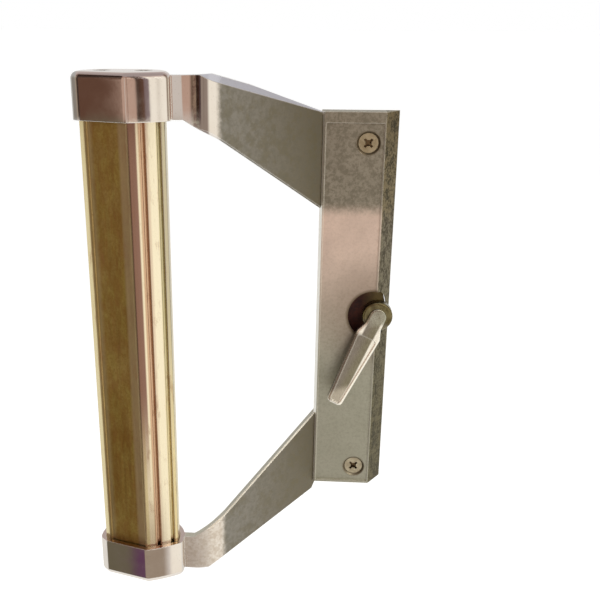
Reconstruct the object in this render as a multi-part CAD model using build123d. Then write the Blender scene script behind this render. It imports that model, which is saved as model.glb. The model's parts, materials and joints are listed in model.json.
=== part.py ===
from build123d import *
import math
import os

os.makedirs("parts", exist_ok=True)

# Offset pull handle for a sliding patio door, inside half, with its latch lever.
# Millimetres. X runs to the right along the door, Y runs into the door, Z is up.
# The origin is on the door face, midway between the two mounting screws.

# Cover plate on the door stile
screw_spacing = 168.3
cover_left = 21.7
cover_right = 8.3
cover_up = 98.3
cover_down = 93.5
cover_depth = 9.5
cover_wall = 2.4
side_flare = 6.0
tray_step = 0.8
tray_rim = 1.1
tray_rim_left = 2.0
top_lip = 5.0
cover_bevel = 0.6
cover_left_bevel = 1.4
boss_radius = 7.0

# Mounting screws, which go on through the door
mount_shank_radius = 2.4
mount_head_radius = 4.6
mount_length = 48.0
mount_neck_radius = 2.0
mount_head_sink = 0.9
csk_half_angle = 41.0
screw_land = 0.3
cross_length = 5.2
cross_width = 1.1
cross_depth = 1.8

# Arms: a foot under the cover, a flat tapered blade and a bend into the cap
arm_angle = 44.3
arm_thickness = 3.8
arm_edge_offset = 0.5
foot_depth = 5.3
foot_reach = 2.0
foot_low = 56.0
foot_high = 91.0
foot_bend = 2.0
arm_bend = 15.0
arm_level = 6.0
arm_top_drop = 1.5
arm_reach = 57.0
blade_run = 60.0
blade_inner_door = 53.5
blade_inner_drop = 8.6
blade_outer_door = 98.0
blade_outer_drop = 1.2
blade_outer_bevel = 3.5
blade_inner_bevel = 1.0

# Grip extrusion, in plan
grip_left = 120.9
grip_width = 35.6
grip_flank_width = 13.9
grip_back = 44.0
grip_side_front = 59.0
strip_width = 2.4
strip_rise = 2.2
ridge_rise = 8.0
flank_end_rise = 1.5
flank_bulge = 0.5
grip_wall = 2.4
grip_back_radius = 13.0
face_recess = 0.5
face_border = 1.2
flute_first = 5.9
flute_second = 12.6
flute_width = 1.1
flute_depth = 1.3
flute_round = 0.8

# Caps, one solid with each arm
cap_wall = 2.2
cap_floor = 3.0
cap_height = 19.1
cap_top = 118.4
cap_edge_radius = 3.0

# Screws through the cap ends into the grip
end_screw_radius = 1.8
end_head_radius = 3.6
end_screw_length = 16.0
end_screw_pitch = 17.0
end_boss_radius = 3.6

# Screws that hold the arm feet and the bearing plate to the cover
small_screw_radius = 1.5
small_head_radius = 3.2
small_head_height = 1.6
small_cross_length = 3.4
small_cross_width = 0.8
small_cross_depth = 1.0
flat_head_small_radius = 2.6
small_screw_grip = 2.2
foot_screw_places = ((-4.0, 64.0), (-13.0, 84.0))

# Latch: the hole in the cover, its bearing and the lever
latch_x = 8.3
latch_hole_x = 6.4
latch_hole_radius = 12.6
latch_hole_reach = 4.5
bearing_plate_thickness = 2.0
bearing_plate_left = 17.0
bearing_plate_height = 54.0
bearing_disc_gap = 0.3
collar_radius = 4.0
collar_height = 1.0
collar_bevel = 0.25
bush_wall = 0.7
bush_flange = 0.9
bush_flange_height = 0.8
shaft_radius = 2.6
shaft_tail = 6.4
lever_boss_radius = 7.4
lever_boss_drop = 1.6
lever_boss_round = 1.2
lever_front = cover_depth + 2.5
lever_length = 48.0
lever_neck_width = 8.4
lever_shoulder = 10.0
lever_corner = 2.0
lever_shoulder_slope = 5.0
lever_width = 12.4
lever_tip_width = 7.6
lever_thickness = 4.2
lever_round = 0.9
lever_swing = 25.9
lever_lift = 12.5
lever_rim = 1.3
lever_dish = 0.9
post_radius = 3.4
post_x = -11.5
post_z = 20.0

# Spring washer, retaining clip, tailpiece and its pin
spring_thickness = 0.5
spring_rise = 0.5
clip_radius = 4.2
clip_thickness = 0.9
clip_groove_radius = 1.9
clip_gap_width = 2.8
tail_width = 3.6
tail_thickness = 1.4
tail_length = 46.0
tail_seat = 4.4
pin_radius = 0.6
pin_end_gap = 1.6
clip_front = 0.4

# Clearances
running_fit = 0.05
fit_gap = 0.15
loose_gap = 0.3
stack_gap = 0.1

cover_face = -cover_depth + tray_step
cap_low = cap_top - cap_height
blade_inner_knee = cap_low - blade_inner_drop
blade_outer_knee = cap_top - blade_outer_drop
arm_along = (-math.cos(math.radians(arm_angle)), -math.sin(math.radians(arm_angle)))
screw_height = screw_spacing / 2
grip_right = -grip_left + grip_width
face_start = (-grip_left + strip_width, -(grip_side_front + strip_rise))
ridge_point = (grip_right - grip_flank_width, -(grip_side_front + ridge_rise))
flank_end = (grip_right, -(grip_side_front + flank_end_rise))
side_wall = cover_wall * math.hypot(side_flare, cover_depth) / cover_depth


def unit(x, y):
    length = math.hypot(x, y)
    return (x / length, y / length)


def offset_corner(point, before, after, distance):
    """The corner of a path moved sideways, to the right of its direction, by distance."""
    n0 = (before[1], -before[0])
    n1 = (after[1], -after[0])
    share = distance / (1 + n0[0] * n1[0] + n0[1] * n1[1])
    return (point[0] + (n0[0] + n1[0]) * share, point[1] + (n0[1] + n1[1]) * share)


def cylinder_y(x, z, radius, y_start, y_end):
    """A round bar along Y between two depths."""
    middle = (y_start + y_end) / 2
    return Pos(x, middle, z) * Rot(90, 0, 0) * Cylinder(radius, abs(y_end - y_start))


def cone_y(x, z, radius_front, radius_back, y_front, y_back):
    """A cone along Y: radius_front at the smaller Y, radius_back at the larger Y."""
    middle = (y_front + y_back) / 2
    return Pos(x, middle, z) * Rot(90, 0, 0) * Cone(radius_back, radius_front, y_back - y_front)


def box_between(x0, x1, y0, y1, z0, z1):
    size = (x1 - x0, y1 - y0, z1 - z0)
    return Pos((x0 + x1) / 2, (y0 + y1) / 2, (z0 + z1) / 2) * Box(*size)


def prism_z(points, z0, z1):
    """A plan outline pulled up between two heights."""
    face = make_face(Polyline(*points, close=True))
    return Pos(0, 0, z0) * extrude(face, amount=z1 - z0, dir=(0, 0, 1))


def mirrored_z(solid):
    return mirror(solid, about=Plane.XY)


def cross_recess(depth):
    """A Phillips recess that opens towards +Z at the origin, turned to an X."""
    bars = [Rot(0, 0, turn) * Box(cross_length, cross_width, depth) for turn in (45, 135)]
    heart = Cone(cross_width * 0.7, cross_width * 1.3, depth)
    return Pos(0, 0, -depth / 2) * (bars[0] + bars[1] + heart)


def csk_depth(head_radius, shank_radius):
    return (head_radius - shank_radius) / math.tan(math.radians(csk_half_angle))


def flat_head_screw(head_radius, shank_radius, length, recess_depth, neck_radius=0, neck_end=0):
    """A countersunk screw with its head's top at the origin and its shank along -Z.

    A neck thinner than the thread runs down to neck_end, where one is given.
    """
    neck_radius = neck_radius or shank_radius
    depth = csk_depth(head_radius, neck_radius)
    land = screw_land
    start = max(neck_end, land + depth)
    section = [
        (0, 0),
        (head_radius, 0),
        (head_radius, -land),
        (neck_radius, -land - depth),
        (neck_radius, -start),
        (shank_radius, -start - (shank_radius - neck_radius)),
        (shank_radius, -length + land),
        (shank_radius * 0.75, -length),
        (0, -length),
    ]
    corners = [point for index, point in enumerate(section) if point != section[index - 1]]
    profile = Plane.XZ * make_face(Polyline(*corners, close=True))
    return revolve(profile, axis=Axis.Z) - cross_recess(recess_depth)


def pan_head_screw():
    """A small screw with its seat at the origin, its head towards +Z and shank along -Z."""
    dome = Pos(0, 0, small_head_height / 2) * Cylinder(small_head_radius, small_head_height)
    dome = fillet(dome.edges().group_by(Axis.Z)[-1], small_head_height * 0.45)
    length = arm_thickness + small_screw_grip
    shank = Pos(0, 0, -length / 2) * Cylinder(small_screw_radius, length)
    bar = Box(small_cross_length, small_cross_width, small_cross_depth)
    recess = Rot(0, 0, 45) * bar + Rot(0, 0, 135) * bar
    return dome + shank - Pos(0, 0, small_head_height - small_cross_depth / 2) * recess


def along(start, end, distance, depth=0.0):
    """A point on the line from start to end, sunk by depth to the left of its direction."""
    d = unit(end[0] - start[0], end[1] - start[1])
    return (start[0] + d[0] * distance - d[1] * depth, start[1] + d[1] * distance + d[0] * depth)


# Grip section in plan: a flat face, a ridge, a fluted side and a rounded back
def grip_outline():
    left = -grip_left
    right = grip_right
    corners = [
        (left, -grip_side_front),
        face_start,
        ridge_point,
        flank_end,
        (right, -grip_back),
        (left, -grip_back),
    ]
    radii = [1.0, 0.6, 1.0, 1.4, grip_back_radius, grip_back_radius]
    ridge, end = corners[2], corners[3]
    crown = along(ridge, end, math.dist(ridge, end) / 2, -flank_bulge)
    flank = ThreePointArc(ridge, crown, end)
    face = make_face([*Polyline(*corners[3:], *corners[:3]).edges(), flank.edge()])
    for corner, radius in zip(corners, radii):
        vertex = face.vertices().sort_by_distance((corner[0], corner[1], 0))[0]
        face = fillet(vertex, radius)
    return face


def fluted(face):
    """The grip's outline with its two flutes, whose mouths are rounded."""
    for place in (flute_first, flute_second):
        mouth = [along(ridge_point, flank_end, place + side * flute_width / 2) for side in (-1, 1)]
        low = [along(ridge_point, flank_end, place + side * flute_width / 2, -3.0) for side in (-1, 1)]
        deep = [
            along(ridge_point, flank_end, place + side * flute_width / 2, flute_depth)
            for side in (-1, 1)
        ]
        face = face - make_face(Polyline(low[0], low[1], deep[1], deep[0], close=True))
        for x, y in mouth:
            vertex = face.vertices().sort_by_distance((x, y, 0))[0]
            face = fillet(vertex, flute_round)
    return face


grip_face = grip_outline()
grip_centre_x = -grip_left + grip_width / 2
grip_centre_y = -(grip_back + grip_side_front) / 2 - 1.5
grip_half_length = cap_top - cap_floor
end_screw_xs = [grip_centre_x - end_screw_pitch / 2, grip_centre_x + end_screw_pitch / 2]


def grip():
    height = 2 * grip_half_length
    outer = Pos(0, 0, -grip_half_length) * extrude(fluted(grip_face), amount=height, dir=(0, 0, 1))
    bore = Pos(0, 0, -grip_half_length) * extrude(
        offset(grip_face, amount=-grip_wall), amount=height, dir=(0, 0, 1)
    )
    bosses = [
        Pos(x, grip_centre_y, 0) * Cylinder(end_boss_radius, height) for x in end_screw_xs
    ]
    webs = [
        Pos(x, grip_centre_y, 0) * Box(grip_wall * 0.8, 40, height) for x in end_screw_xs
    ]
    bars = (bosses[0] + bosses[1] + webs[0] + webs[1]) & outer
    body = (outer - bore) + bars
    pilots = [
        Pos(x, grip_centre_y, 0) * Cylinder(end_screw_radius + running_fit, height)
        for x in end_screw_xs
    ]
    body = body - pilots[0] - pilots[1]
    face_length = math.dist(face_start, ridge_point)
    recess = [
        along(face_start, ridge_point, face_border),
        along(face_start, ridge_point, face_length - face_border),
        along(face_start, ridge_point, face_length - face_border, face_recess),
        along(face_start, ridge_point, face_border, face_recess),
    ]
    lifted = [
        along(face_start, ridge_point, face_length - face_border, -1.0),
        along(face_start, ridge_point, face_border, -1.0),
    ]
    outline = [recess[3], recess[2], lifted[0], lifted[1]]
    body = body - prism_z(outline, -grip_half_length - 1, grip_half_length + 1)
    return body


# Arms
def arm_plan(extra=0.0):
    """The arm's plan: the foot, the angled blade and the bend, grown by extra on each side."""
    start_x = -cover_left
    start_y = -(cover_depth - arm_edge_offset)
    back = (cover_depth - arm_edge_offset - foot_depth) / -arm_along[1]
    turn = (start_x - arm_along[0] * back, -foot_depth)
    ahead = (arm_reach - (cover_depth - arm_edge_offset)) / -arm_along[1]
    knee = (start_x + arm_along[0] * ahead, -arm_reach)
    end = (grip_right - cap_wall - 2.0, -arm_reach)
    flat = (-1.0, 0.0)
    front = [(foot_reach, -foot_depth), turn, knee, end]
    shifts = []
    for distance in (-extra, arm_thickness + extra):
        shifts.append([
            (front[0][0], front[0][1] + distance),
            offset_corner(front[1], flat, arm_along, distance),
            offset_corner(front[2], arm_along, flat, distance),
            (front[3][0], front[3][1] + distance),
        ])
    near = FilletPolyline(*shifts[0], radius=[foot_bend - extra, arm_bend + arm_thickness + extra])
    far = FilletPolyline(*shifts[1], radius=[foot_bend + arm_thickness + extra, arm_bend - extra])
    ends = [Line(near @ 0, far @ 0), Line(near @ 1, far @ 1)]
    return make_face([*near.edges(), *far.edges(), ends[0].edge(), ends[1].edge()])


def arm_elevation():
    """The arm seen along Y: a wide end at the door that narrows to the cap's height."""
    blade_x = -cover_left
    knee_x = blade_x + arm_along[0] * blade_run
    cap_x = grip_right + 1.0
    points = [
        (foot_reach + 1, foot_low),
        (blade_x + 3.0, foot_low),
        (blade_x, blade_inner_door),
        (knee_x, blade_inner_knee),
        (cap_x + arm_level, cap_low),
        (cap_x - 12.0, cap_low),
        (cap_x - 12.0, cap_top - arm_top_drop),
        (cap_x, cap_top - arm_top_drop),
        (knee_x, blade_outer_knee),
        (blade_x, blade_outer_door),
        (blade_x + 3.0, foot_high),
        (foot_reach + 1, foot_high),
    ]
    plane = Plane(origin=(0, 0, 0), x_dir=(1, 0, 0), z_dir=(0, -1, 0))
    face = plane * make_face(Polyline(*points, close=True))
    return Pos(0, 5, 0) * extrude(face, amount=80, dir=(0, -1, 0))


def blade_point(run, depth, height):
    """A point of the blade: run along it from the cover, depth behind its front surface."""
    x = -cover_left + arm_along[0] * run + arm_along[1] * depth
    y = -(cover_depth - arm_edge_offset) + arm_along[1] * run - arm_along[0] * depth
    return Vector(x, y, height)


def bevel_cut(edge_start, edge_end, rise):
    """A block that bevels the blade from the line edge_start..edge_end back to a rise higher."""
    a = blade_point(0, 0, edge_start)
    b = blade_point(blade_run, 0, edge_end)
    c = blade_point(blade_run, arm_thickness, edge_end + rise)
    normal = (b - a).cross(c - a)
    outward = math.copysign(1, rise)
    if normal.Z * outward < 0:
        normal = normal * -1
    plane = Plane(origin=(a + b) * 0.5, x_dir=b - a, z_dir=normal)
    return extrude(plane * Rectangle(2.2 * blade_run, 60), amount=20)


def arm_blade(extra=0.0):
    plan = Pos(0, 0, foot_low - 20) * extrude(arm_plan(extra), amount=90, dir=(0, 0, 1))
    blade = plan & arm_elevation()
    if extra:
        return blade
    blade = blade - bevel_cut(
        blade_outer_door, blade_outer_knee - blade_outer_bevel, blade_outer_bevel
    )
    return blade - bevel_cut(
        blade_inner_door + blade_inner_bevel, blade_inner_knee + blade_inner_bevel, -arm_thickness
    )


def upper_arm():
    shell_face = offset(grip_face, amount=fit_gap + cap_wall)
    shell = Pos(0, 0, cap_low) * extrude(shell_face, amount=cap_height, dir=(0, 0, 1))
    shell = fillet(shell.edges().group_by(Axis.Z)[-1], cap_edge_radius)
    socket_face = offset(grip_face, amount=fit_gap)
    socket = Pos(0, 0, cap_low - 1) * extrude(
        socket_face, amount=cap_height - cap_floor + 1, dir=(0, 0, 1)
    )
    body = shell + arm_blade() - socket
    clearance_hole = cylinder_y(0, screw_height, boss_radius + loose_gap, -foot_depth - 1, 1)
    body = body - clearance_hole
    for x, z in foot_screw_places:
        body = body - cylinder_y(x, z, small_screw_radius + fit_gap, -foot_depth - 1, 1)
    sink = csk_depth(end_head_radius, end_screw_radius)
    for x in end_screw_xs:
        head = Pos(x, grip_centre_y, cap_top - sink / 2 - 0.3) * Cone(
            end_screw_radius + fit_gap, end_head_radius + fit_gap, sink
        )
        land = Pos(x, grip_centre_y, cap_top) * Cylinder(end_head_radius + fit_gap, 0.6)
        hole = Pos(x, grip_centre_y, cap_top) * Cylinder(end_screw_radius + fit_gap, cap_height)
        body = body - head - land - hole
    return body


# Cover
def latch_hole(y_start, y_end, inset=0.0):
    """The hole for the lever's boss: round in the face, squeezed where the side slopes back."""
    radius = latch_hole_radius - inset
    half_height = math.sqrt(radius ** 2 - (cover_right - latch_hole_x) ** 2)
    beside = Pos(cover_right + 2 * radius, 0) * Rectangle(4 * radius, 4 * radius)
    outline = Pos(latch_hole_x, 0) * Circle(radius) - beside
    side = Pos(cover_right, 0) * Ellipse(latch_hole_reach - inset, half_height)
    outline = outline + (side & beside)
    upright = Plane(origin=(0, y_start, 0), x_dir=(1, 0, 0), z_dir=(0, 1, 0))
    return extrude(upright * outline, amount=y_end - y_start)


def cover():
    bevel = cover_bevel
    outer = [
        (-cover_left, 0),
        (-cover_left, -cover_depth + cover_left_bevel),
        (-cover_left + cover_left_bevel, -cover_depth),
        (cover_right - bevel, -cover_depth),
        (cover_right, -cover_depth + bevel),
        (cover_right + side_flare, 0),
    ]
    inner_right = cover_right + side_flare - side_wall
    inner_depth = cover_depth - cover_wall
    inner = [
        (-cover_left + cover_wall, 1),
        (-cover_left + cover_wall, -inner_depth),
        (inner_right - side_flare * inner_depth / cover_depth, -inner_depth),
        (inner_right, 0),
        (inner_right, 1),
    ]
    body = prism_z(outer, -cover_down, cover_up)
    body = body - prism_z(inner, -cover_down + cover_wall, cover_up - cover_wall)
    body = body - box_between(
        -cover_left + tray_rim_left, cover_right - tray_rim, -cover_depth - 1, cover_face,
        -cover_down + tray_rim, cover_up - top_lip,
    )
    pad_right = foot_reach + 2.0
    for side in (1, -1):
        low, high = sorted((side * foot_low, side * foot_high))
        body = body + box_between(
            -cover_left + cover_wall - 0.5, pad_right, -cover_depth + cover_wall - 0.5,
            -foot_depth - fit_gap, low, high,
        )
        body = body + cylinder_y(0, side * screw_height, boss_radius, cover_face + 0.5, 0)
        body = body + cylinder_y(
            post_x, side * post_z, post_radius, cover_face + 0.5, -bearing_plate_thickness
        )
    slot = arm_blade(fit_gap)
    body = body - slot - mirrored_z(slot)
    sink = csk_depth(mount_head_radius, mount_neck_radius)
    seat = cover_face + mount_head_sink
    land = seat + screw_land + running_fit
    mouth = mount_head_radius + fit_gap + mount_head_sink * math.tan(math.radians(csk_half_angle))
    for side in (1, -1):
        z = side * screw_height
        body = body - cylinder_y(0, z, mount_shank_radius + fit_gap, -cover_depth - 1, 1)
        body = body - cone_y(0, z, mouth, mount_head_radius + fit_gap, cover_face, seat)
        body = body - cylinder_y(0, z, mount_head_radius + fit_gap, seat, land)
        body = body - cone_y(
            0, z, mount_head_radius + fit_gap, mount_neck_radius + fit_gap, land, land + sink
        )
        for x, place in foot_screw_places:
            body = body - cylinder_y(
                x, side * place, small_screw_radius + running_fit,
                -foot_depth - small_screw_grip - fit_gap, 0,
            )
        body = body - cylinder_y(
            post_x, z / abs(z) * post_z, small_screw_radius + running_fit,
            -bearing_plate_thickness - small_screw_grip - fit_gap, 0,
        )
    return body - latch_hole(-cover_depth - 1, 1)


# Latch bearing
def bearing_plate():
    narrowing = bearing_plate_thickness * side_flare / cover_depth
    right = cover_right + side_flare - side_wall - narrowing - loose_gap
    plate = box_between(
        -bearing_plate_left, right, -bearing_plate_thickness + stack_gap, 0,
        -bearing_plate_height / 2, bearing_plate_height / 2,
    )
    disc = latch_hole(-bearing_plate_thickness + stack_gap, 0, bearing_disc_gap)
    collar_front = -bearing_plate_thickness - collar_height
    collar = cylinder_y(latch_x, 0, collar_radius, collar_front, 0)
    collar = chamfer(collar.edges().group_by(Axis.Y)[0], collar_bevel)
    body = plate + disc + collar
    bore = shaft_radius + running_fit + bush_wall + running_fit
    body = body - cylinder_y(latch_x, 0, bore, collar_front - 1, 1)
    sink = csk_depth(flat_head_small_radius, small_screw_radius)
    for side in (1, -1):
        z = side * post_z
        body = body - cylinder_y(post_x, z, small_screw_radius + fit_gap, -4, 1)
        body = body - cylinder_y(post_x, z, flat_head_small_radius + fit_gap, -screw_land, 1)
        body = body - cone_y(
            post_x, z, small_screw_radius + fit_gap, flat_head_small_radius + fit_gap,
            -screw_land - sink, -screw_land,
        )
    return body


def bearing_bush():
    bore = shaft_radius + running_fit
    front = -bearing_plate_thickness - collar_height
    sleeve = cylinder_y(latch_x, 0, bore + bush_wall, front, 0)
    flange = cylinder_y(latch_x, 0, bore + bush_wall + bush_flange, front - bush_flange_height, front)
    return sleeve + flange - cylinder_y(latch_x, 0, bore, front - 2, 1)


bush_front = -bearing_plate_thickness - collar_height - bush_flange_height
spring_front = bush_front - stack_gap - spring_thickness - spring_rise
lever_back = spring_front - stack_gap
lever_axis = Pos(latch_x, 0, 0)


def spring_washer():
    """A dished washer that presses the lever's boss away from the bush."""
    inner = shaft_radius + fit_gap
    outer = shaft_radius + bush_wall + bush_flange * 0.8
    back = bush_front - stack_gap
    front = spring_front
    section = [
        (inner, front),
        (inner, front + spring_thickness),
        (outer, back),
        (outer, back - spring_thickness),
    ]
    face = make_face(Polyline(*section, close=True))
    return lever_axis * revolve(face, axis=Axis.Y)


def lever_outline(inset=0.0):
    """The lever's blade seen from the front: a neck, sloping shoulders and a taper to the tip."""
    top = lever_shoulder + inset
    tip = lever_length - inset
    half = lever_width / 2 - inset
    half_tip = lever_tip_width / 2 - inset
    if inset:
        corners = [(-half_tip, -tip), (half_tip, -tip), (half, -top), (-half, -top)]
        return fillet(make_face(Polyline(*corners, close=True)).vertices(), lever_corner - inset / 2)
    neck = lever_neck_width / 2
    slope = lever_shoulder_slope
    right = [(half_tip, -tip), (half, -top), (neck, -top + slope), (neck, 0)]
    left = [(-x, y) for x, y in reversed(right)]
    face = make_face(Polyline(*right, *left, close=True))
    for x, y in right[:3] + left[1:]:
        face = fillet(face.vertices().sort_by_distance((x, y, 0))[0], lever_corner)
    return face + Circle(neck)


def lever():
    upright = Plane(origin=(0, 0, 0), x_dir=(1, 0, 0), z_dir=(0, -1, 0))
    blade = extrude(upright * lever_outline(), amount=lever_thickness / 2, both=True)
    blade = fillet(blade.edges().group_by(Axis.Y)[0], lever_round)
    dish = extrude(upright * lever_outline(lever_rim), amount=lever_dish + 1)
    blade = blade - Pos(0, -lever_thickness / 2 + lever_dish, 0) * dish
    middle = -lever_front + lever_thickness / 2
    blade = Pos(0, middle, 0) * Rot(-lever_lift, 0, 0) * blade
    boss = cylinder_y(0, 0, lever_boss_radius, -lever_front + lever_boss_drop, lever_back)
    boss = fillet(boss.edges().group_by(Axis.Y)[0], lever_boss_round)
    shaft = cylinder_y(0, 0, shaft_radius, lever_back - 1, shaft_tail)
    body = blade + boss + shaft
    behind = box_between(-20, 20, lever_back, 20, -60, 20) - cylinder_y(
        0, 0, shaft_radius, lever_back - 1, 30
    )
    body = body - behind
    groove = cylinder_y(0, 0, shaft_radius + 1, clip_front, clip_front + clip_thickness + stack_gap)
    groove = groove - cylinder_y(0, 0, clip_groove_radius, clip_front - 1, clip_front + 3)
    slot = box_between(
        -tail_thickness / 2 - running_fit, tail_thickness / 2 + running_fit,
        shaft_tail - tail_seat, shaft_tail + 1,
        -tail_width / 2 - running_fit, tail_width / 2 + running_fit,
    )
    pin_hole = Rot(0, 90, 0) * Cylinder(pin_radius + running_fit, 4 * shaft_radius)
    body = body - groove - slot - Pos(0, shaft_tail - pin_end_gap, 0) * pin_hole
    return lever_axis * Rot(0, lever_swing, 0) * body


def retaining_clip():
    front = clip_front + stack_gap / 2
    ring = cylinder_y(0, 0, clip_radius, front, front + clip_thickness)
    ring = ring - cylinder_y(0, 0, clip_groove_radius + running_fit, -1, 5)
    ring = ring - box_between(
        -clip_gap_width / 2, clip_gap_width / 2, -1, 5, -clip_radius - 1, 0
    )
    return lever_axis * Rot(0, lever_swing, 0) * ring


def tailpiece():
    blade = box_between(
        -tail_thickness / 2, tail_thickness / 2, shaft_tail - tail_seat, tail_length,
        -tail_width / 2, tail_width / 2,
    )
    blade = chamfer(blade.edges().group_by(Axis.Y)[-1], 0.4)
    pin_hole = Rot(0, 90, 0) * Cylinder(pin_radius + running_fit, 10)
    blade = blade - Pos(0, shaft_tail - pin_end_gap, 0) * pin_hole
    return lever_axis * Rot(0, lever_swing, 0) * blade


def tailpiece_pin():
    pin = Rot(0, 90, 0) * Cylinder(pin_radius, 2 * shaft_radius - 0.6)
    return lever_axis * Rot(0, lever_swing, 0) * Pos(0, shaft_tail - pin_end_gap, 0) * pin


def mounting_screw(side):
    door_face = -cover_face - mount_head_sink
    neck_end = door_face - (mount_shank_radius - mount_neck_radius)
    screw = flat_head_screw(
        mount_head_radius, mount_shank_radius, mount_length, cross_depth,
        mount_neck_radius, neck_end,
    )
    return Pos(0, cover_face + mount_head_sink, side * screw_height) * Rot(90, 0, 0) * screw


def foot_screw(place, side):
    x, z = place
    seat = -foot_depth + arm_thickness
    return Pos(x, seat, side * z) * Rot(-90, 0, 0) * pan_head_screw()


def bearing_screw(side):
    length = bearing_plate_thickness + small_screw_grip
    screw = flat_head_screw(flat_head_small_radius, small_screw_radius, length, 0.9)
    return Pos(post_x, 0, side * post_z) * Rot(-90, 0, 0) * screw


def end_screw(index, side):
    screw = flat_head_screw(end_head_radius, end_screw_radius, end_screw_length, 1.4)
    placed = Pos(end_screw_xs[index], grip_centre_y, cap_top) * screw
    return placed if side > 0 else mirrored_z(placed)


nodes = {
    "cover_plate": cover(),
    "upper_arm": upper_arm(),
    "grip": grip(),
    "bearing_plate": bearing_plate(),
    "bearing_bush": bearing_bush(),
    "spring_washer": spring_washer(),
    "latch_lever": lever(),
    "retaining_clip": retaining_clip(),
    "tailpiece": tailpiece(),
    "tailpiece_pin": tailpiece_pin(),
}
nodes["lower_arm"] = mirrored_z(nodes["upper_arm"])
for side, end in ((1, "upper"), (-1, "lower")):
    nodes[f"{end}_mounting_screw"] = mounting_screw(side)
    nodes[f"{end}_bearing_screw"] = bearing_screw(side)
    for index, place in enumerate(foot_screw_places):
        nodes[f"{end}_arm_screw_{index + 1}"] = foot_screw(place, side)
        nodes[f"{end}_grip_screw_{index + 1}"] = end_screw(index, side)

for name, solid in nodes.items():
    export_step(solid, f"parts/{name}.step")
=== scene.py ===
import json
import math

import bpy
from mathutils import Matrix, Vector


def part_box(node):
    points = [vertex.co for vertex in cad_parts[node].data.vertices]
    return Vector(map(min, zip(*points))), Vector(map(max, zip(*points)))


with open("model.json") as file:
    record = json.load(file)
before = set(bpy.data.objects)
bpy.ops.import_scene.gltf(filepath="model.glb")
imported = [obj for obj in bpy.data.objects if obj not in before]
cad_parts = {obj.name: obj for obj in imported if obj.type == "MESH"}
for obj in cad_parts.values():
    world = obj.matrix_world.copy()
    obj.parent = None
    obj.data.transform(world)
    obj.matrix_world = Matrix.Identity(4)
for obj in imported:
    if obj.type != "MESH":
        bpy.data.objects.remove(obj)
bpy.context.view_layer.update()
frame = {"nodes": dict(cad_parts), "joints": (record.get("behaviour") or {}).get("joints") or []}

MM = 0.001

# The camera, fitted to the photograph. Angles are in degrees, pixels in the 600 x 600 frame.
CAMERA_PLACE = (-23.96 * MM, -408.37 * MM, 140.59 * MM)
CAMERA_YAW = 3.88
CAMERA_PITCH = 20.0
CAMERA_ROLL = 0.21
FOCAL_PIXELS = 853.0
CENTRE_PIXEL = (257.2, 322.9)
FRAME_PIXELS = 600
SENSOR_MM = 36.0

# The floor, the world and the lamps. Lengths are in metres, the glow and the light are strengths.
FLOOR_SIZE = 80.0
FLOOR_HEIGHT = -0.6
FLOOR_GLOW = 0.36
WORLD_LIGHT = 0.7
# Name, place, size, power in watts and colour. Each lamp faces the origin.
LAMPS = [
    ("key", (0.75, -0.9, 1.0), (0.7, 0.7), 12, (1.0, 0.97, 0.92)),
    ("fill", (-1.0, -0.8, 0.7), (1.0, 0.8), 4, (1.0, 0.98, 0.96)),
]

# The light tent: a ring of upright colour bands round the grip, in three storeys. A band's place
# is its angle in degrees, from the front towards +X. The bands wander by TENT_WAVE, in radians.
TENT_RADIUS = 0.5
TENT_STEPS = 72
TENT_BOTTOM = FLOOR_HEIGHT + 0.01
TENT_TOP = 0.9
TENT_HIGH_FROM = 0.042
TENT_HIGH_BLUR = 0.005
TENT_LOW_FROM = -0.39
TENT_LOW_BLUR = 0.015
TENT_WAVE_SIZE = 0.5
TENT_WAVE = 0.06
CREAM = (1.0, 0.95, 0.86)
LIGHT = (0.86, 0.85, 0.82)
HAZE = (0.68, 0.63, 0.60)
PINK = (0.54, 0.37, 0.30)
TAN = (0.36, 0.29, 0.23)
MAUVE = (0.25, 0.19, 0.20)
RUST = (0.13, 0.066, 0.045)
BROWN = (0.24, 0.16, 0.12)
MOSS = (0.15, 0.13, 0.09)
PLUM = (0.12, 0.05, 0.11)
UMBER = (0.06, 0.038, 0.03)
TENT_HIGH = [
    (-180, LIGHT), (-112, LIGHT), (-98, TAN), (-84, TAN), (-76, UMBER), (-54, UMBER),
    (-50, RUST), (-45.05, RUST), (-44.6, PINK), (-9, PINK), (-7, HAZE), (-4, HAZE),
    (0, PINK), (16, PINK), (21.5, BROWN), (23.5, BROWN), (27, PINK), (33.3, PINK),
    (33.8, UMBER), (39.5, RUST), (41, MAUVE), (43.7, MAUVE), (44.4, CREAM), (50.5, CREAM),
    (51.4, TAN), (52.3, CREAM), (84, CREAM), (96, TAN), (120, TAN), (134, LIGHT),
    (180, LIGHT),
]
TENT_MIDDLE = [
    (-180, LIGHT), (-66, LIGHT), (-56, TAN), (-50, MOSS), (-46, MOSS), (-40, TAN),
    (-24, UMBER), (-10, TAN), (-2, HAZE), (20, HAZE), (25, CREAM), (88, CREAM),
    (98, LIGHT), (180, LIGHT),
]
TENT_LOW = [
    (-180, LIGHT), (-88, LIGHT), (-74, MOSS), (-46.2, MOSS), (-45.6, PLUM), (-44.2, PLUM),
    (-36, TAN), (40, TAN), (45.5, HAZE), (48.5, CREAM), (88, CREAM), (98, LIGHT),
    (180, LIGHT),
]

# Places on the part, in metres
cover_low, cover_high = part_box("cover_plate")
grip_low, grip_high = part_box("grip")
# From left to right: the caps, the ridge between the grip's face and its flutes, the inside of
# the arms' curve beside the cap, and the bend where their blades begin
cap_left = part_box("upper_arm")[0].x
ridge_x = grip_high.x - 13.9 * MM
cap_right = grip_high.x + 2.4 * MM
hollow_start = grip_high.x + 11.0 * MM
bend_start = grip_high.x + 20.7 * MM
# From front to back: where the grip's face and its fluted side end, and the fronts of the boss
# and of the screw heads
grip_face_back = -60.5 * MM
grip_flank_back = -56.0 * MM
boss_front = -10.4 * MM
screw_top = -7.8 * MM

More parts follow.
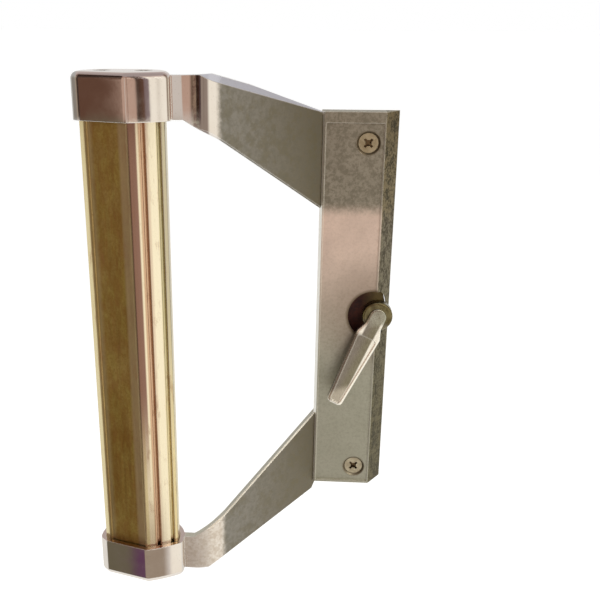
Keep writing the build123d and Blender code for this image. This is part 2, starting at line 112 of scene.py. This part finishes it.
# The lever's axis, its lean from straight down, how much its right edge draws in per metre, and
# its own directions
hub = Vector(frame["joints"][0]["pos_m"])
LEVER_SWING = math.radians(25.9)
LEVER_TAPER = 0.063
lever_along = (-math.sin(LEVER_SWING), 0, -math.cos(LEVER_SWING))
lever_across = (math.cos(LEVER_SWING), 0, -math.sin(LEVER_SWING))

# Dark rings on the cover round the screws and the lever's hole, partly dirt and partly painted
# shade: centre, inner and outer radius
SCREW_HEIGHT = 84.15 * MM
HOLE_X = 6.4 * MM
DIRT_AND_SHADE_RINGS = [
    ((0, 0, SCREW_HEIGHT), 5.2 * MM, 6.2 * MM),
    ((0, 0, -SCREW_HEIGHT), 5.2 * MM, 6.2 * MM),
    ((HOLE_X, 0, 0), 12.7 * MM, 14.4 * MM),
]

# Painted reflection stripes on the fluted side: from and to in mm right of the ridge, colour, share
# at the bottom and at the top, and the heights in mm between which the share changes
FLUTE_REFLECTIONS = [
    (1.4, 3.8, (0.96, 0.86, 0.66), 0.8, 0.8, -60, 40),
    (-0.3, 2.9, (0.24, 0.12, 0.09), 0.0, 0.95, -85, -15),
    (3.8, 6.8, (0.62, 0.38, 0.26), 0.8, 0.8, -60, 40),
    (6.8, 10.5, (1.0, 0.93, 0.74), 0.8, 0.8, -60, 40),
    (6.5, 7.5, (0.74, 0.60, 0.46), 0.5, 0.85, -60, 40),
    (10.7, 11.7, (0.44, 0.40, 0.24), 0.1, 0.85, -60, 40),
    (11.8, 14.4, (0.55, 0.50, 0.37), 0.0, 0.85, -60, 40),
]
FLUTE_BLUR = 0.4 * MM

BEVEL_SAMPLES = 6
# The cosine between the rounded and the true normal, on an open face and on a sharp edge
EDGE_COSINES = (0.995, 0.86)
# How far above and below the middle the looks of the two halves pass into each other
HALVES_BLUR = 5 * MM


# Shading
class Paint:
    """A node material. Its methods add nodes, and those that work something out return it."""

    def __init__(self, name, **constants):
        self.material = bpy.data.materials.new(name)
        self.material.use_nodes = True
        self.tree = self.material.node_tree
        self.tree.nodes.clear()
        output = self.tree.nodes.new("ShaderNodeOutputMaterial")
        self.surface = self.tree.nodes.new("ShaderNodeBsdfPrincipled")
        self.tree.links.new(self.surface.outputs[0], output.inputs["Surface"])
        self.place = self.tree.nodes.new("ShaderNodeTexCoord").outputs["Object"]
        self.set(**constants)

    def put(self, socket, value):
        """Links an output to a socket, or sets the socket to a constant."""
        if isinstance(value, bpy.types.NodeSocket):
            self.tree.links.new(value, socket)
        elif socket.type == "RGBA":
            socket.default_value = (*value, 1.0)
        else:
            socket.default_value = value

    def set(self, **values):
        """Sets or links inputs of the surface shader, such as base_color."""
        for name, value in values.items():
            label = name.replace("_", " ").title().replace("Ior", "IOR")
            self.put(self.surface.inputs[label], value)

    def node(self, kind, output=0, settings=(), **inputs):
        """Adds a node and returns one output. An input goes by its name, or by number as in _0."""
        made = self.tree.nodes.new(kind)
        for name, value in dict(settings).items():
            setattr(made, name, value)
        for name, value in inputs.items():
            key = int(name[1:]) if name[1:].isdigit() else name.replace("_", " ").title()
            self.put(made.inputs[key], value)
        return made.outputs[output]

    # Numbers
    def math(self, kind, a, b):
        return self.node("ShaderNodeMath", settings={"operation": kind}, _0=a, _1=b)

    def plus(self, a, b):
        return self.math("ADD", a, b)

    def times(self, product, *factors):
        for factor in factors:
            product = self.math("MULTIPLY", product, factor)
        return product

    def blend(self, share, a, b):
        """The number a where share is 0 and b where it is 1."""
        return self.node("ShaderNodeMix", 0, {"data_type": "FLOAT"}, _0=share, _2=a, _3=b)

    def range(self, value, low, high, to_low=0.0, to_high=1.0):
        """Maps value from low..high to to_low..to_high, smoothly and within those limits."""
        return self.node(
            "ShaderNodeMapRange", settings={"interpolation_type": "SMOOTHSTEP"},
            _0=value, _1=low, _2=high, _3=to_low, _4=to_high,
        )

    def spread(self, noise, width):
        """Moves noise from 0..1 to a range of that width round 0."""
        return self.times(self.math("SUBTRACT", noise, 0.5), width)

    # Colours
    def mix(self, share, a, b):
        """The colour a where share is 0 and b where it is 1."""
        return self.node("ShaderNodeMix", 2, {"data_type": "RGBA"}, _0=share, _6=a, _7=b)

    def layers(self, colour, *coats):
        """Lays coats over a colour, in turn. A coat is its share and its colour."""
        for share, coat in coats:
            colour = self.mix(share, colour, coat)
        return colour

    def ramp(self, value, stops):
        """Colours along value, from a list of (place, colour)."""
        colours = self.node("ShaderNodeValToRGB", _0=value)
        elements = colours.node.color_ramp.elements
        while len(elements) < len(stops):
            elements.new(0.5)
        for element, (place, colour) in zip(elements, stops):
            element.position = place
            element.color = (*colour, 1.0)
        return colours

    # Patterns
    def noise(self, size, detail, roughness, stretch=(1, 1, 1)):
        """Cloudy noise from 0 to 1, whose features are about size metres wide."""
        vector = self.node("ShaderNodeMapping", vector=self.place, scale=stretch)
        return self.node(
            "ShaderNodeTexNoise", vector=vector, scale=1 / size, detail=detail, roughness=roughness
        )

    def specks(self, size, low, high):
        """Spots about size metres apart: 1 nearer than low and 0 beyond high, as shares of size."""
        far = self.node("ShaderNodeTexVoronoi", vector=self.place, scale=1 / size)
        return self.range(far, high, low)

    # Places
    def axis(self, name, vector=None):
        """One coordinate of the place, or of another vector."""
        vector = self.place if vector is None else vector
        return self.node("ShaderNodeSeparateXYZ", "XYZ".index(name), _0=vector)

    def along(self, name, low, high):
        """0 at low and 1 at high along an axis, in metres."""
        return self.range(self.axis(name), low, high)

    def band(self, name, start, full, fade, end):
        """1 from full to fade along an axis, and 0 before start and after end, in metres."""
        return self.times(self.along(name, start, full), self.along(name, end, fade))

    def upper_half(self):
        """1 on the part's upper half and 0 on its lower half."""
        return self.along("Z", -HALVES_BLUR, HALVES_BLUR)

    def lower_half(self):
        """1 on the part's lower half and 0 on its upper half."""
        return self.along("Z", HALVES_BLUR, -HALVES_BLUR)

    def vector_math(self, kind, output, a, b):
        """A vector with output 0 and a number with output 1."""
        return self.node("ShaderNodeVectorMath", output, {"operation": kind}, _0=a, _1=b)

    def toward(self, direction, origin):
        """The distance from a plane through origin, in metres, positive along direction."""
        away = self.vector_math("SUBTRACT", 0, self.place, origin)
        return self.vector_math("DOT_PRODUCT", 1, away, direction)

    def around(self, centre):
        """The distance from an axis along Y through centre, in metres."""
        flat = self.vector_math("MULTIPLY", 0, self.place, (1, 0, 1))
        return self.vector_math("DISTANCE", 1, flat, (centre[0], 0, centre[2]))

    # Normals
    def true_normal(self):
        return self.node("ShaderNodeNewGeometry", 3)

    def soft_normal(self, radius):
        """The normal, rounded over edges."""
        return self.node("ShaderNodeBevel", settings={"samples": BEVEL_SAMPLES}, radius=radius)

    def edges(self, radius):
        """1 along sharp edges and 0 on open faces."""
        alike = self.vector_math("DOT_PRODUCT", 1, self.soft_normal(radius), self.true_normal())
        return self.range(alike, *EDGE_COSINES)

    def bump(self, height, depth, radius=0.25 * MM):
        """Raises the surface by depth metres where height is 1, over softened edges."""
        self.set(normal=self.node(
            "ShaderNodeBump", strength=1.0, distance=depth, height=height,
            normal=self.soft_normal(radius),
        ))


def gold_anodised():
    """Gold anodising: an olive face, duller and partly painted dark reflection, a painted
    reflection by the ridge, a polished fluted side with painted reflection stripes, and reddish
    stains.
    """
    p = Paint("gold_anodised", metallic=1.0)
    draw = p.noise(0.5 * MM, 4, 0.6, (1, 1, 0.012))
    cloud = p.noise(14 * MM, 4, 0.6, (1, 1, 0.35))
    grime = p.noise(3.5 * MM, 6, 0.7, (1, 1, 0.3))
    speckle = p.noise(1.2 * MM, 4, 0.7)
    patch = p.noise(6 * MM, 4, 0.65, (1, 1, 0.5))
    face = p.times(
        p.along("X", ridge_x - 0.2 * MM, ridge_x - 1.2 * MM),
        p.along("Y", grip_face_back, grip_face_back - 1.5 * MM),
    )
    # A lighter painted reflection along the face beside the ridge
    ridge_reflection = p.along("X", ridge_x - 5.2 * MM, ridge_x - 3.6 * MM)
    top = p.along("Z", -30 * MM, 60 * MM)
    gold = p.layers(
        p.mix(cloud, (0.74, 0.61, 0.32), (0.92, 0.83, 0.56)),
        (p.times(draw, 0.3), (0.60, 0.47, 0.22)),
    )
    flank = p.along("Y", grip_flank_back, grip_flank_back - 2 * MM)
    # Painted reflection stripes down the fluted side
    for start, end, reflection_colour, below, above, low, high in FLUTE_REFLECTIONS:
        left, right = ridge_x + start * MM, ridge_x + end * MM
        share = p.times(
            flank, p.blend(p.along("Z", low * MM, high * MM), below, above),
            p.along("X", left - FLUTE_BLUR, left + FLUTE_BLUR),
            p.along("X", right + FLUTE_BLUR, right - FLUTE_BLUR),
        )
        gold = p.mix(share, gold, reflection_colour)
    # The face's olive is partly its own duller colour and partly painted dark reflection, with a
    # painted change of tone towards the top
    olive_and_dark_reflection = p.layers(
        p.mix(p.range(cloud, 0.3, 0.7), (0.33, 0.205, 0.05), (0.50, 0.35, 0.12)),
        (p.times(top, 0.5), (0.42, 0.29, 0.10)),
        (p.range(patch, 0.42, 0.6, 0.0, 0.4), (0.48, 0.38, 0.10)),
        (p.range(grime, 0.42, 0.58, 0.0, 0.36), (0.28, 0.12, 0.02)),
        (p.range(speckle, 0.44, 0.6, 0.0, 0.28), (0.22, 0.11, 0.02)),
        (p.times(ridge_reflection, 0.6), (0.52, 0.40, 0.25)),
    )
    stain = p.times(p.range(grime, 0.54, 0.72), 0.4)
    p.set(base_color=p.layers(gold, (face, olive_and_dark_reflection), (stain, (0.36, 0.17, 0.07))))
    polished = p.range(p.plus(p.times(draw, 0.6), stain), 0.2, 0.9, 0.18, 0.4)
    p.set(roughness=p.blend(face, polished, p.range(draw, 0.3, 0.7, 0.36, 0.48)))
    p.bump(p.plus(draw, p.times(grime, 0.6)), 0.02 * MM)
    return p


def arm_plating():
    """Chrome, bright on the caps and bends, and worn to a satin grey on the blades."""
    p = Paint("arm_plating", metallic=1.0)
    cloud = p.noise(11 * MM, 5, 0.6)
    patch = p.noise(7 * MM, 5, 0.7)
    blot = p.noise(2.2 * MM, 5, 0.7)
    grain = p.noise(0.35 * MM, 3, 0.7, (0.12, 0.12, 1))
    pits = p.specks(1.1 * MM, 0.06, 0.16)
    wear = p.edges(0.8 * MM)
    upward = p.range(p.axis("Z", p.true_normal()), 0.3, 0.55)

    # The parts of an arm, from the cap's left corner to the blade
    # Painted grey reflection on the rounded left corner of the upper cap
    corner_reflection = p.times(p.along("X", cap_left + 3.4 * MM, cap_left + 2.4 * MM), p.upper_half())
    on_cap = p.along("X", cap_right + 0.5 * MM, cap_right - 0.5 * MM)
    lower_arm = p.times(p.lower_half(), p.along("X", cap_right - 1 * MM, cap_right + 1 * MM))
    hollow_reflection = p.band(
        "X", hollow_start - 1.0 * MM, hollow_start + 0.6 * MM,
        hollow_start + 5.4 * MM, hollow_start + 6.6 * MM,
    )
    ragged = p.plus(p.axis("X"), p.spread(blot, 2 * MM))
    satin = p.range(ragged, bend_start - 1.0 * MM, bend_start + 1.6 * MM)
    blade = p.along("X", bend_start, cover_low.x)

    bright = p.layers(
        p.mix(cloud, (0.76, 0.69, 0.63), (0.88, 0.85, 0.80)),
        (p.times(lower_arm, p.range(blot, 0.38, 0.62, 0.0, 0.65)), (0.54, 0.46, 0.37)),
    )
    dull = p.layers(
        p.mix(blade, (0.295, 0.28, 0.25), (0.185, 0.16, 0.11)),
        (p.times(p.range(patch, 0.45, 0.62), 0.5), (0.175, 0.15, 0.085)),
        (p.range(blot, 0.4, 0.62, 0.0, 0.45), (0.17, 0.16, 0.125)),
        (p.times(grain, 0.3), (0.20, 0.19, 0.16)),
    )
    # Painted dark reflection in the hollow of the upper arm's curve, greyer in patches by the cap
    lighter_patch = p.times(
        p.range(blot, 0.35, 0.6), p.along("X", hollow_start + 3.0 * MM, hollow_start + 1.6 * MM)
    )
    dark = p.mix(lighter_patch, (0.12, 0.065, 0.05), (0.38, 0.37, 0.29))
    # Painted reflection on faces turned upwards: bluish grey on the upper arm, olive grey on the
    # lower arm and brownish on the caps
    lower_up_facing_reflection = p.mix(lower_arm, (0.60, 0.50, 0.46), (0.42, 0.40, 0.33))
    up_facing_reflection = p.layers(
        p.mix(p.lower_half(), (0.60, 0.60, 0.68), lower_up_facing_reflection), (on_cap, (0.42, 0.31, 0.29))
    )
    p.set(base_color=p.layers(
        bright,
        (satin, dull),
        # painted dark reflection in the upper arm's hollow
        (p.times(hollow_reflection, p.blend(lower_arm, 0.8, 0.0)), dark),
        (p.times(upward, 0.85), up_facing_reflection),
        (p.times(pits, 0.4), (0.16, 0.12, 0.09)),
        (p.times(wear, p.blend(on_cap, 0.8, 0.4)), (0.88, 0.87, 0.86)),
        (p.times(corner_reflection, 0.85), (0.42, 0.42, 0.41)),
    ))
    polished = p.plus(
        p.range(cloud, 0.3, 0.7, 0.035, 0.1),
        p.times(lower_arm, p.range(blot, 0.3, 0.7, 0.22, 0.36)),
    )
    p.set(roughness=p.blend(satin, polished, p.range(grain, 0.2, 0.8, 0.34, 0.5)))
    p.bump(p.plus(p.times(grain, satin), p.times(cloud, 0.4)), 0.03 * MM, 0.5 * MM)
    return p


def cover_plating():
    """Dull plating: a painted pink reflection by the lever with fainter mottling, stronger mottling
    above, and a dark sloped side.
    """
    p = Paint("cover_plating", metallic=1.0)
    mottle = p.noise(1.3 * MM, 5, 0.75)
    cloud = p.noise(16 * MM, 4, 0.6)
    blotches = p.range(p.noise(2.6 * MM, 5, 0.75), 0.4, 0.6, 0.0, 0.5)
    wear = p.edges(0.6 * MM)
    # Painted highlight along the cover's rounded front left edge
    left_bevel_highlight = p.times(
        p.along("X", cover_low.x + 1.5 * MM, cover_low.x + 1.1 * MM),
        p.along("Y", cover_low.y + 1.7 * MM, cover_low.y + 1.3 * MM),
    )
    slope = p.along("X", cover_high.x - 7.0 * MM, cover_high.x - 6.0 * MM)
    # A painted pink reflection by the lever, where the mottling is fainter
    pink_reflection = p.band("Z", -36 * MM, 42 * MM, 49 * MM, 57 * MM)
    top = p.along("Z", 44 * MM, 54 * MM)
    blotched = p.along("Z", 49 * MM, 57 * MM)
    bottom = p.along("Z", 20 * MM, -60 * MM)
    shade = p.range(p.around(hub), 36 * MM, 12 * MM)
    face = p.layers(
        p.mix(cloud, (0.39, 0.39, 0.31), (0.50, 0.50, 0.415)),
        (top, p.mix(cloud, (0.26, 0.24, 0.19), (0.40, 0.365, 0.295))),
        (pink_reflection, p.mix(cloud, (0.60, 0.48, 0.41), (0.92, 0.74, 0.63))),
        (p.times(p.range(mottle, 0.42, 0.66), p.blend(pink_reflection, 0.22, 0.1)), (0.20, 0.18, 0.13)),
        (p.times(blotches, blotched), (0.14, 0.125, 0.088)),
        (p.times(shade, 0.42), (0.20, 0.13, 0.09)),
    )
    # Dark rings of dirt and painted shade, which also take the worn edges away
    for centre, inner, outer in DIRT_AND_SHADE_RINGS:
        ring = p.range(p.around(centre), outer, inner)
        face = p.mix(p.times(ring, 0.75), face, (0.12, 0.085, 0.045))
        wear = p.times(wear, p.math("SUBTRACT", 1.0, ring))
    # The sloped side is dark with darker mottles, and darker towards the bottom
    darkening = p.plus(mottle, p.spread(p.noise(5 * MM, 4, 0.7), 0.7))
    dark_slope = p.layers(
        p.mix(top, (0.21, 0.185, 0.118), (0.24, 0.19, 0.10)),
        (bottom, (0.15, 0.125, 0.06)),
        (p.range(darkening, 0.4, 0.62), (0.05, 0.04, 0.016)),
    )
    p.set(base_color=p.layers(
        face,
        (p.times(slope, 0.95), dark_slope),
        (p.times(wear, 0.6), (0.78, 0.76, 0.68)),
        (left_bevel_highlight, (0.93, 0.93, 0.90)),
    ))
    p.set(roughness=p.range(mottle, 0.25, 0.75, 0.32, 0.55))
    p.bump(p.plus(mottle, p.times(cloud, 0.5)), 0.05 * MM)
    return p


def lever_plating():
    """Worn plating with painted highlights along its rims and neck, and brown painted shade with
    some dirt down at the boss.
    """
    p = Paint("lever_plating", metallic=1.0)
    cloud = p.noise(5 * MM, 5, 0.65)
    scratch = p.noise(0.4 * MM, 3, 0.6, (1, 1, 0.08))
    wear = p.edges(1.0 * MM)
    # Painted shade with some dirt on the boss, deeper than its front
    darkening = p.along("Y", boss_front - 0.9 * MM, boss_front - 0.2 * MM)
    length = p.toward(lever_along, hub)
    across = p.toward(lever_across, hub)
    left = p.range(across, 1.5 * MM, -3 * MM)
    end = p.range(p.plus(length, p.times(across, 0.9)), 36 * MM, 41 * MM)
    # A painted highlight in patches on the neck by the hub
    top = p.times(p.range(length, 8 * MM, 1 * MM), p.range(cloud, 0.4, 0.6, 0.1, 0.75))

    # Painted highlights along the rims: the right edge, the neck, the left shoulder and the tip
    edge = p.plus(across, p.times(length, LEVER_TAPER))
    rim_highlight = p.times(p.range(edge, 4.6 * MM, 5.4 * MM), p.range(length, 7 * MM, 10 * MM))
    neck_highlight = p.times(p.range(across, 2.4 * MM, 3.2 * MM), p.range(length, 0.0, 3 * MM))
    shoulder_highlight = p.times(
        p.range(across, -2.8 * MM, -3.8 * MM),
        p.range(length, 2 * MM, 5 * MM), p.range(length, 12 * MM, 9 * MM),
    )
    tip_highlight = p.range(length, 45.0 * MM, 46.2 * MM)
    for bright in (neck_highlight, shoulder_highlight, tip_highlight):
        rim_highlight = p.math("MAXIMUM", rim_highlight, bright)

    boss_shade_and_grime = p.mix(p.range(cloud, 0.3, 0.7), (0.06, 0.042, 0.010), (0.19, 0.15, 0.05))
    p.set(base_color=p.layers(
        p.mix(cloud, (0.20, 0.18, 0.12), (0.30, 0.275, 0.20)),
        (p.times(left, 0.6), (0.27, 0.235, 0.225)),
        (end, (0.56, 0.51, 0.42)),
        (p.times(scratch, 0.3), (0.16, 0.135, 0.10)),
        (p.times(wear, 0.4), (0.90, 0.87, 0.80)),
        (rim_highlight, (0.99, 0.96, 0.88)),
        (top, (0.46, 0.46, 0.38)),
        (p.times(darkening, 0.85), boss_shade_and_grime),
    ))
    p.set(roughness=p.range(scratch, 0.25, 0.75, 0.14, 0.32))
    p.bump(p.plus(cloud, p.times(scratch, 0.5)), 0.05 * MM, 0.5 * MM)
    return p


def screw_steel():
    """Brassy mounting screws, the upper one darker, with brown dirt in the cross recess."""
    p = Paint("screw_steel", metallic=1.0)
    cloud = p.noise(4 * MM, 4, 0.65)
    grain = p.noise(0.5 * MM, 4, 0.7)
    recess = p.band(
        "Y", screw_top + 0.15 * MM, screw_top + 0.5 * MM, screw_top + 2.2 * MM, screw_top + 3.0 * MM
    )
    upper = p.upper_half()
    dark = p.mix(upper, (0.46, 0.41, 0.29), (0.32, 0.26, 0.16))
    light = p.mix(upper, (0.70, 0.65, 0.49), (0.50, 0.43, 0.29))
    p.set(base_color=p.layers(
        p.mix(p.range(cloud, 0.3, 0.7), dark, light),
        (p.times(grain, 0.3), (0.34, 0.27, 0.17)),
        (p.times(recess, 0.92), (0.14, 0.09, 0.045)),
    ))
    p.set(roughness=p.range(grain, 0.2, 0.8, 0.26, 0.42))
    p.bump(p.plus(grain, cloud), 0.03 * MM, 0.15 * MM)
    return p


def dark_steel():
    """The floor of the hole, near-black purple-brown on the left from painted shade, olive-brown on
    the right, and its grey back.
    """
    p = Paint("dark_steel", metallic=0.4)
    cloud = p.noise(4 * MM, 5, 0.7)
    grain = p.noise(0.6 * MM, 4, 0.7)
    # Painted shade: the left of the hole's floor is near-black purple-brown
    left = p.mix(p.range(cloud, 0.3, 0.7), (0.022, 0.003, 0.004), (0.10, 0.018, 0.008))
    right = p.mix(cloud, (0.22, 0.15, 0.05), (0.40, 0.30, 0.115))
    behind = p.along("Y", -1.2 * MM, -0.4 * MM)
    grey = p.mix(cloud, (0.20, 0.19, 0.17), (0.34, 0.33, 0.30))
    p.set(base_color=p.layers(
        p.mix(p.along("X", hub.x - 9 * MM, hub.x + 3 * MM), left, right),
        (p.times(grain, 0.4), (0.03, 0.02, 0.012)),
        (behind, grey),
    ))
    p.set(roughness=p.range(grain, 0.2, 0.8, 0.4, 0.7))
    p.bump(p.plus(grain, cloud), 0.05 * MM, 0.15 * MM)
    return p


def plain_metal(name, light, dark, grain_size, rough, depth):
    """A plain metal with fine grain, and cloudy tarnish eight times as coarse."""
    p = Paint(name, metallic=1.0)
    cloud = p.noise(grain_size * 8, 4, 0.65)
    grain = p.noise(grain_size, 4, 0.7)
    p.set(base_color=p.layers(
        p.mix(p.range(cloud, 0.3, 0.7), dark, light), (p.times(grain, 0.4), dark)
    ))
    p.set(roughness=p.range(grain, 0.2, 0.8, *rough))
    p.bump(p.plus(grain, cloud), depth, 0.15 * MM)
    return p


def dress(paint, *names):
    """Gives the named pieces this paint and no other."""
    for name in names:
        mesh = frame["nodes"][name].data
        mesh.materials.clear()
        mesh.materials.append(paint.material)


# Stage
def link(obj):
    bpy.context.scene.collection.objects.link(obj)
    return obj


def floor():
    """A pale floor that a camera sees almost white and that keeps the part's shadow."""
    mesh = bpy.data.meshes.new("floor")
    half = FLOOR_SIZE / 2
    corners = [(-half, -half, 0), (half, -half, 0), (half, half, 0), (-half, half, 0)]
    mesh.from_pydata(corners, [], [(0, 1, 2, 3)])
    slab = link(bpy.data.objects.new("floor", mesh))
    slab.location.z = FLOOR_HEIGHT
    p = Paint("floor_paint", roughness=0.8)
    cloud = p.noise(0.9, 2, 0.5)
    p.set(base_color=p.mix(p.times(cloud, 0.05), (0.93, 0.925, 0.915), (0.85, 0.84, 0.82)))
    camera_ray = p.node("ShaderNodeLightPath")
    p.set(emission_color=(1.0, 1.0, 1.0), emission_strength=p.times(camera_ray, FLOOR_GLOW))
    mesh.materials.append(p.material)


def light_tent():
    """A ring of light and dark cloths round the part, which only its reflections show."""
    ring = []
    for height in (TENT_BOTTOM, TENT_TOP):
        for step in range(TENT_STEPS):
            turn = 2 * math.pi * step / TENT_STEPS
            ring.append((TENT_RADIUS * math.sin(turn), -TENT_RADIUS * math.cos(turn), height))
    faces = []
    for step in range(TENT_STEPS):
        following = (step + 1) % TENT_STEPS
        faces.append((step, following, TENT_STEPS + following, TENT_STEPS + step))
    mesh = bpy.data.meshes.new("light_tent")
    mesh.from_pydata(ring, [], faces)
    tent = link(bpy.data.objects.new("light_tent", mesh))
    tent.location = (grip_low.x, grip_low.y, 0)
    tent.visible_camera = tent.visible_diffuse = tent.visible_shadow = False
    tent.visible_transmission = tent.visible_volume_scatter = False
    p = Paint("light_tent_paint", base_color=(0, 0, 0), roughness=1.0, specular_ior_level=0.0)
    angle = p.math("ARCTAN2", p.axis("X"), p.times(p.axis("Y"), -1.0))
    angle = p.plus(angle, p.spread(p.noise(TENT_WAVE_SIZE, 2, 0.5), TENT_WAVE))
    share = p.plus(p.math("DIVIDE", angle, 2 * math.pi), 0.5)
    high, middle, low = (
        p.ramp(share, [((degrees + 180) / 360, colour) for degrees, colour in bands])
        for bands in (TENT_HIGH, TENT_MIDDLE, TENT_LOW)
    )
    upper = p.along("Z", TENT_HIGH_FROM - TENT_HIGH_BLUR, TENT_HIGH_FROM + TENT_HIGH_BLUR)
    lower = p.along("Z", TENT_LOW_FROM + TENT_LOW_BLUR, TENT_LOW_FROM - TENT_LOW_BLUR)
    p.set(emission_color=p.layers(middle, (upper, high), (lower, low)), emission_strength=1.0)
    mesh.materials.append(p.material)


def area_light(name, place, size, power, colour):
    data = bpy.data.lights.new(name, "AREA")
    data.shape = "RECTANGLE"
    data.size, data.size_y = size
    data.energy = power
    data.color = colour
    lamp = link(bpy.data.objects.new(name, data))
    lamp.location = place
    lamp.rotation_euler = (-Vector(place)).to_track_quat("-Z", "Y").to_euler()


def studio_world():
    """An even white world, which is stronger where the camera sees it."""
    world = bpy.data.worlds.new("studio")
    world.use_nodes = True
    bpy.context.scene.world = world
    nodes, links = world.node_tree.nodes, world.node_tree.links
    backdrop = nodes["Background"]
    backdrop.inputs["Color"].default_value = (1.0, 1.0, 1.0, 1.0)
    camera_ray = nodes.new("ShaderNodeLightPath").outputs["Is Camera Ray"]
    strength = nodes.new("ShaderNodeMapRange")
    links.new(camera_ray, strength.inputs["Value"])
    strength.inputs["To Min"].default_value = WORLD_LIGHT
    strength.inputs["To Max"].default_value = 1.0
    links.new(strength.outputs[0], backdrop.inputs["Strength"])


def photo_camera():
    """The photograph's camera, with its picture's centre where the fit puts it."""
    yaw, pitch, roll = (math.radians(a) for a in (CAMERA_YAW, CAMERA_PITCH, CAMERA_ROLL))
    ahead = Vector((-math.sin(yaw), math.cos(yaw), 0))
    right = Vector((math.cos(yaw), math.sin(yaw), 0))
    up = Vector((0, 0, 1))
    forward = ahead * math.cos(pitch) - up * math.sin(pitch)
    upright = up * math.cos(pitch) + ahead * math.sin(pitch)
    x_axis = right * math.cos(roll) + upright * math.sin(roll)
    y_axis = upright * math.cos(roll) - right * math.sin(roll)
    data = bpy.data.cameras.new("photo_camera")
    data.sensor_width = SENSOR_MM
    data.lens = FOCAL_PIXELS / FRAME_PIXELS * SENSOR_MM
    data.shift_x = (FRAME_PIXELS / 2 - CENTRE_PIXEL[0]) / FRAME_PIXELS
    data.shift_y = (CENTRE_PIXEL[1] - FRAME_PIXELS / 2) / FRAME_PIXELS
    data.clip_start = 0.01
    camera = link(bpy.data.objects.new("photo_camera", data))
    turn = Matrix((x_axis, y_axis, -forward)).transposed().to_4x4()
    camera.matrix_world = Matrix.Translation(Vector(CAMERA_PLACE)) @ turn
    bpy.context.scene.camera = camera


dress(gold_anodised(), "grip")
dress(arm_plating(), "upper_arm", "lower_arm")
dress(cover_plating(), "cover_plate")
dress(lever_plating(), "latch_lever")
dress(screw_steel(), "upper_mounting_screw", "lower_mounting_screw")
dress(dark_steel(), "bearing_plate")
bush_brass = plain_metal(
    "bush_brass", (0.34, 0.26, 0.13), (0.14, 0.10, 0.05), 0.5 * MM, (0.3, 0.5), 0.04 * MM
)
spring_steel = plain_metal(
    "spring_steel", (0.46, 0.44, 0.41), (0.28, 0.26, 0.24), 0.4 * MM, (0.22, 0.4), 0.02 * MM
)
small_screw_steel = plain_metal(
    "small_screw_steel", (0.58, 0.55, 0.50), (0.34, 0.31, 0.28), 0.4 * MM, (0.2, 0.4), 0.02 * MM
)
dress(bush_brass, "bearing_bush")
dress(spring_steel, "spring_washer", "retaining_clip", "tailpiece", "tailpiece_pin")
dress(small_screw_steel, *(n for n in frame["nodes"] if "_screw" in n and "mounting" not in n))

floor()
light_tent()
for lamp in LAMPS:
    area_light(*lamp)
studio_world()
photo_camera()
bpy.context.scene.view_settings.view_transform = "Standard"
